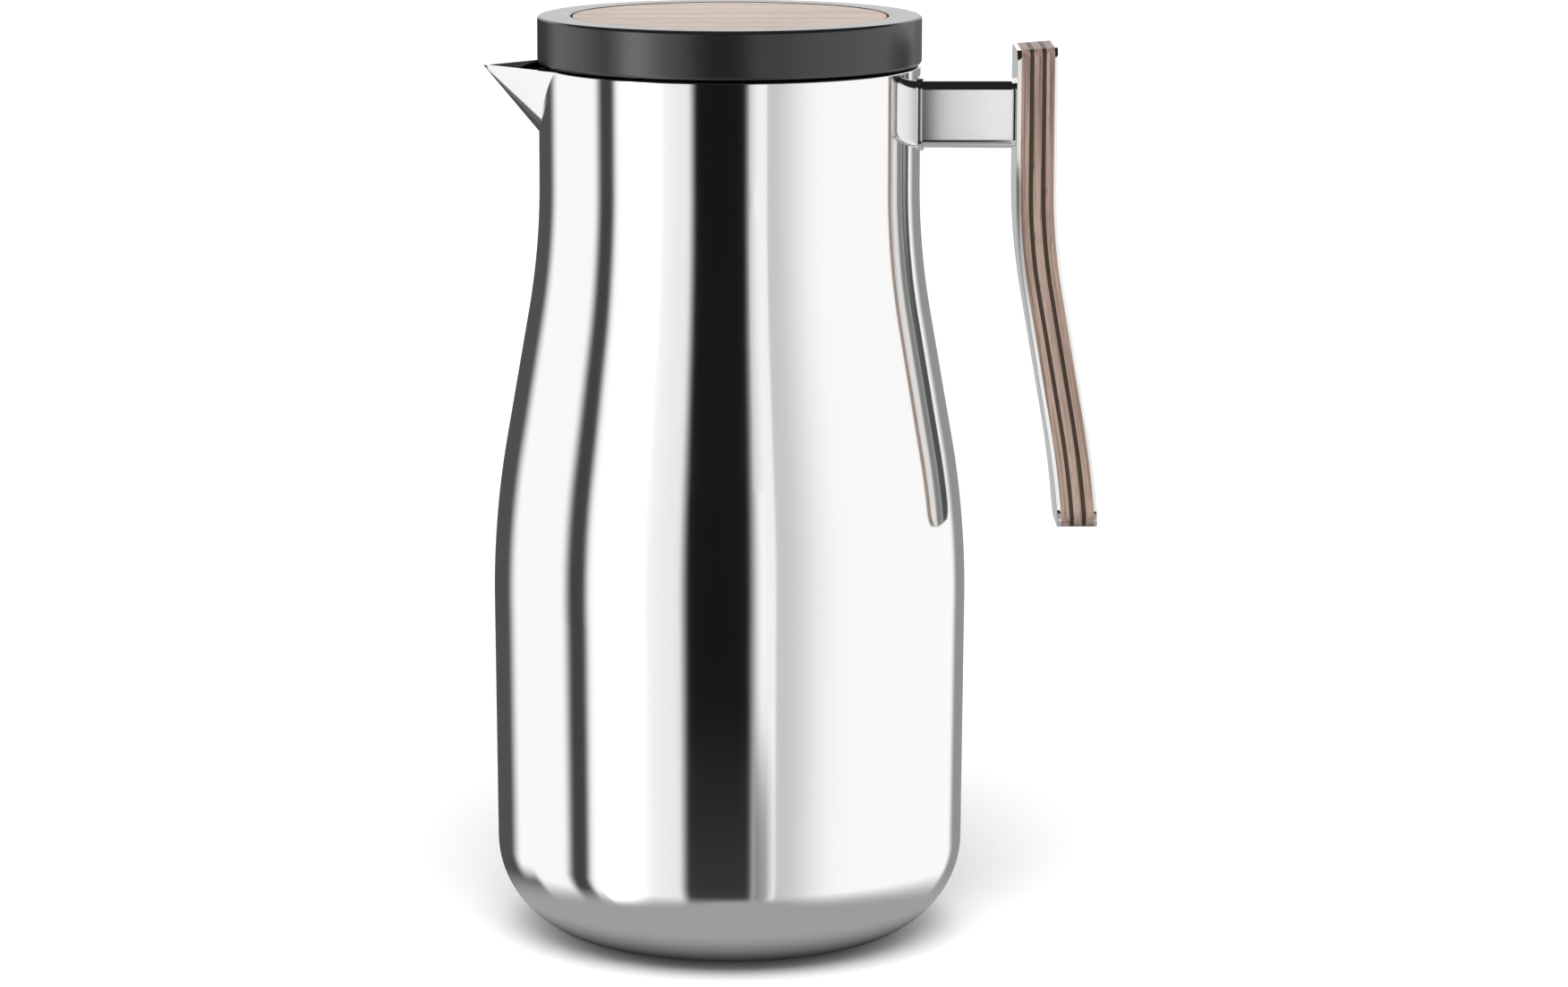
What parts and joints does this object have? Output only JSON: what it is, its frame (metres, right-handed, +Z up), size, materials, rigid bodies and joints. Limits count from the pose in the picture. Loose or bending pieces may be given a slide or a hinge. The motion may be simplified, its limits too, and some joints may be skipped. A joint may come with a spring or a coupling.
{
  "type": "thermal carafe",
  "caption": "Tall round vacuum carafe with a polished steel shell, V-shaped pouring beak, turn-to-open lid with a wood inlay and an open laminated wood handle on a square arm.",
  "frame": {"origin": "centre of the flat resting face under the foot", "axes": "+Z up along the vessel's axis, handle towards +X, spout towards -X"},
  "size_m": [0.1639, 0.127, 0.2486],
  "materials": {
    "polished_steel": "mirror polished stainless steel",
    "screw_steel": "plain turned steel",
    "silvered_glass": "silvered on the vacuum side",
    "spacer_felt": "pressed mineral felt",
    "black_rubber": "matt",
    "silicone": "satin translucent",
    "inner_plastic": "moulded, fine satin",
    "lid_plastic": "moulded, fine matt grain",
    "light_wood": "oiled, satin",
    "dark_wood": "oiled, satin",
    "lid_wood": "oiled, satin, straight grain",
    "foam": "expanded foam"
  },
  "bodies": {
    "carafe": {"outer_shell": "polished_steel", "pouring_spout": "polished_steel", "base_pad": "black_rubber", "flask_cushion": "black_rubber", "flask_outer_wall": "silvered_glass", "flask_inner_wall": "silvered_glass", "flask_spacers": "spacer_felt", "neck_gasket": "silicone", "neck_collar": "inner_plastic", "arm_root_plate": "polished_steel", "handle_arm": "polished_steel", "arm_screws": "screw_steel", "handle_inner_plate": "polished_steel", "handle_plate_screws": "screw_steel", "grip_ply_1": "light_wood", "grip_ply_2": "dark_wood", "grip_ply_3": "light_wood", "grip_ply_4": "dark_wood", "grip_ply_5": "light_wood", "handle_outer_plate": "polished_steel"},
    "stopper": {"stopper_insert": "inner_plastic", "insert_seal": "silicone"},
    "valve": {"valve_disc": "inner_plastic", "valve_seal": "silicone", "stem_retainer": "inner_plastic"},
    "lid": {"lid_cover": "lid_plastic", "lid_wood_disc": "lid_wood", "lid_plug": "inner_plastic", "plug_seal": "silicone", "lid_stem": "inner_plastic", "stem_screw": "screw_steel", "lid_insulation": "foam"}
  },
  "joints": [
    {"name": "closure_lift", "type": "slide", "parent": "carafe", "child": "stopper", "axis": [0, 0, 1], "range_m": [0, 0.045]},
    {"name": "valve_lift", "type": "slide", "parent": "stopper", "child": "valve", "axis": [0, 0, 1], "range_m": [0, 0.004]},
    {"name": "lid_turn", "type": "hinge", "parent": "valve", "child": "lid", "pos_m": [0, 0, 0.2404], "axis": [0, 0, 1], "range_deg": [0, 180]}
  ],
  "couplings": [
    {"joint": "valve_lift", "follows": "lid_turn", "m_per_rad": 0.00127}
  ]
}
